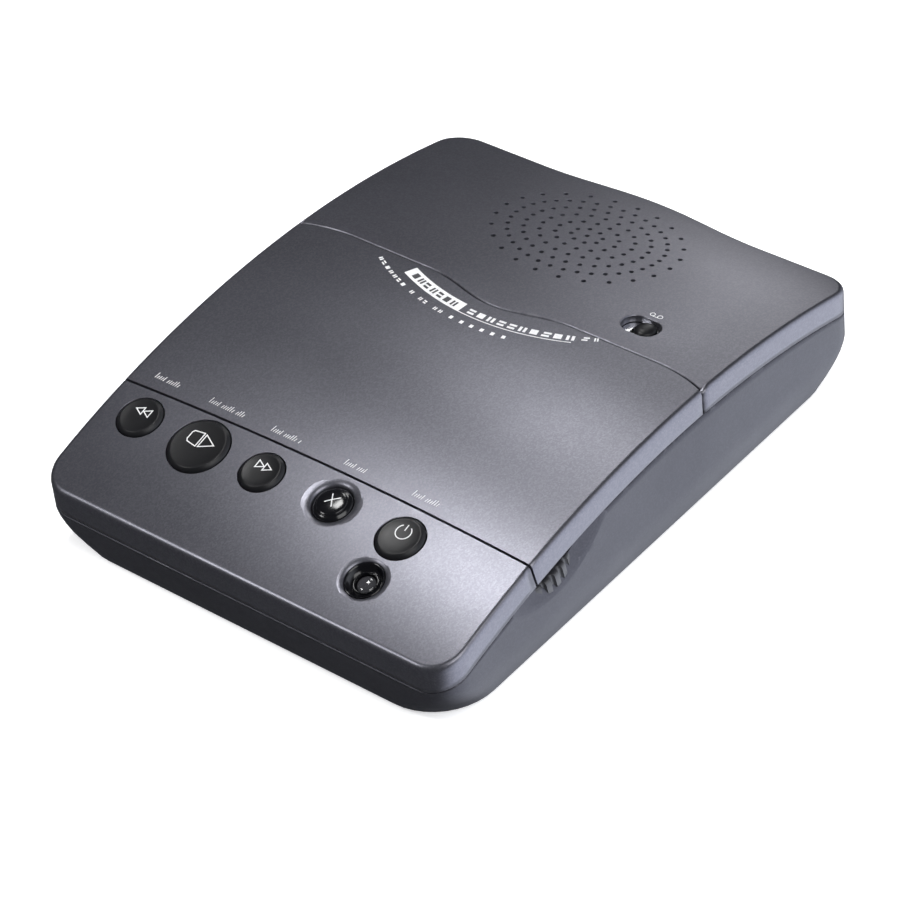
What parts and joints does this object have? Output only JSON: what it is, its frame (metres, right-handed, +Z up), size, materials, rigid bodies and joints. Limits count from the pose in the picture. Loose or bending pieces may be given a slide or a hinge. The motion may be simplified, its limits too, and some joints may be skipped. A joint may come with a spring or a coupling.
{
  "type": "telephone answering machine",
  "caption": "Arched desktop answering machine with a rear-hinged cassette lid, push keys, volume wheel, slide switch, speaker and microcassette deck inside",
  "frame": {"origin": "centre of the footprint, on the table under the rubber feet", "axes": "+Z up; +Y to the rear, where the sockets are; +X to the right, the volume wheel's side, for a user who faces the keys"},
  "size_m": [0.15, 0.197, 0.0418],
  "materials": {
    "housing": "satin anthracite with a fine metallic grain",
    "base_plastic": "satin anthracite, fine spark texture",
    "key_plastic": "satin black",
    "gloss_black": "polished black",
    "clear_lens": "clear, water-white",
    "dark_plastic": "fine matt texture",
    "ivory_plastic": "smooth natural acetal",
    "white_plastic": "smooth acetal",
    "circuit_board": "green solder resist over glass laminate",
    "steel": "zinc plated sheet",
    "bright_steel": "polished",
    "brass": "turned",
    "black_rubber": "matt",
    "cone_paper": "pressed dark paper",
    "magnet_steel": "dull zinc",
    "copper_coil": "lacquered winding",
    "tape_brown": "wound magnetic tape",
    "cassette_plastic": "clear smoked",
    "capacitor_sleeve": "shrink sleeve",
    "chip_black": "moulded epoxy",
    "transformer": "yellow winding tape and steel core"
  },
  "bodies": {
    "housing": {"base_shell": "base_plastic", "front_panel": "housing", "rear_cover": "housing", "hinge_pins": "bright_steel", "hinge_brackets": "dark_plastic", "bay_tray": "dark_plastic", "tact_switches": "dark_plastic", "key_board": "circuit_board", "indicator_bezel": "gloss_black", "indicator_lamp": "clear_lens", "slide_switch": "bright_steel", "switch_board": "circuit_board", "volume_pot": "dark_plastic", "speaker_frame": "steel", "speaker_cone": "cone_paper", "speaker_cap": "cone_paper", "speaker_magnet": "magnet_steel", "deck_plate": "steel", "drive_motor": "steel", "drive_belt": "black_rubber", "capstan_bearing": "brass", "solenoid_coil": "copper_coil", "cassette_shell": "cassette_plastic", "main_board": "circuit_board", "capacitors": "capacitor_sleeve", "integrated_circuits": "chip_black", "line_transformer": "transformer", "line_socket": "dark_plastic", "power_socket": "dark_plastic", "rubber_feet": "black_rubber", "case_screws": "steel", "inner_screws": "steel"},
    "lid": {"cassette_lid": "housing", "hinge_arms": "steel"},
    "rewind_button": {"rewind_key": "key_plastic", "rewind_plunger": "ivory_plastic"},
    "play_button": {"play_key": "key_plastic", "play_plunger": "ivory_plastic"},
    "forward_button": {"forward_key": "key_plastic", "forward_plunger": "ivory_plastic"},
    "erase_button": {"erase_key": "gloss_black", "erase_plunger": "ivory_plastic"},
    "power_button": {"power_key": "key_plastic", "power_plunger": "ivory_plastic"},
    "slide_button": {"slide_knob": "key_plastic"},
    "volume_thumbwheel": {"volume_wheel": "dark_plastic"},
    "capstan_drive": {"flywheel": "brass", "capstan": "bright_steel"},
    "motor_rotor": {"motor_pulley": "brass"},
    "supply_drive": {"supply_spindle": "white_plastic", "supply_reel": "tape_brown"},
    "takeup_drive": {"takeup_spindle": "white_plastic", "takeup_reel": "tape_brown"},
    "head_carriage": {"head_plate": "steel", "tape_head": "bright_steel", "erase_head": "dark_plastic", "pinch_arm": "steel", "solenoid_plunger": "steel"},
    "roller": {"pinch_roller": "black_rubber"}
  },
  "joints": [
    {"name": "lid_hinge", "type": "hinge", "parent": "housing", "child": "lid", "pos_m": [0, 0.0337, 0.03633], "axis": [-1, 0, 0], "range_deg": [0, 60]},
    {"name": "rewind_press", "type": "slide", "parent": "housing", "child": "rewind_button", "axis": [0, 0.2353, -0.9719], "range_m": [0, 0.001], "stiffness_N_per_m": 300, "springref_m": -0.001},
    {"name": "play_press", "type": "slide", "parent": "housing", "child": "play_button", "axis": [0, 0.2353, -0.9719], "range_m": [0, 0.001], "stiffness_N_per_m": 300, "springref_m": -0.001},
    {"name": "forward_press", "type": "slide", "parent": "housing", "child": "forward_button", "axis": [0, 0.2353, -0.9719], "range_m": [0, 0.001], "stiffness_N_per_m": 300, "springref_m": -0.001},
    {"name": "erase_press", "type": "slide", "parent": "housing", "child": "erase_button", "axis": [0, 0.2353, -0.9719], "range_m": [0, 0.001], "stiffness_N_per_m": 300, "springref_m": -0.001},
    {"name": "power_press", "type": "slide", "parent": "housing", "child": "power_button", "axis": [0, 0.2353, -0.9719], "range_m": [0, 0.001], "stiffness_N_per_m": 300, "springref_m": -0.001},
    {"name": "announcement_slide", "type": "slide", "parent": "housing", "child": "slide_button", "axis": [-1, 0, 0], "range_m": [0, 0.0032]},
    {"name": "volume_turn", "type": "hinge", "parent": "housing", "child": "volume_thumbwheel", "pos_m": [0.0549, -0.0485, 0.0195], "axis": [0, -0.1778, 0.9841], "range_deg": [-135, 135]},
    {"name": "capstan_spin", "type": "hinge", "parent": "housing", "child": "capstan_drive", "pos_m": [0.004, -0.0305, 0.02], "axis": [0, 0, 1], "continuous": true},
    {"name": "motor_spin", "type": "hinge", "parent": "housing", "child": "motor_rotor", "pos_m": [-0.026, -0.033, 0.0061], "axis": [0, 0, 1], "continuous": true},
    {"name": "supply_spin", "type": "hinge", "parent": "housing", "child": "supply_drive", "pos_m": [-0.0204, -0.0155, 0.02], "axis": [0, 0, 1], "continuous": true},
    {"name": "takeup_spin", "type": "hinge", "parent": "housing", "child": "takeup_drive", "pos_m": [0.0044, -0.0155, 0.02], "axis": [0, 0, 1], "continuous": true},
    {"name": "head_slide", "type": "slide", "parent": "housing", "child": "head_carriage", "axis": [0, 1, 0], "range_m": [0, 0.003], "stiffness_N_per_m": 60, "springref_m": -0.002},
    {"name": "roller_spin", "type": "hinge", "parent": "head_carriage", "child": "roller", "pos_m": [0.004, -0.03775, 0.028], "axis": [0, 0, 1], "continuous": true}
  ],
  "couplings": [
    {"joint": "motor_spin", "follows": "capstan_spin", "ratio": 6.1765},
    {"joint": "supply_spin", "follows": "capstan_spin", "ratio": 0.09375},
    {"joint": "takeup_spin", "follows": "capstan_spin", "ratio": 0.10227}
  ]
}
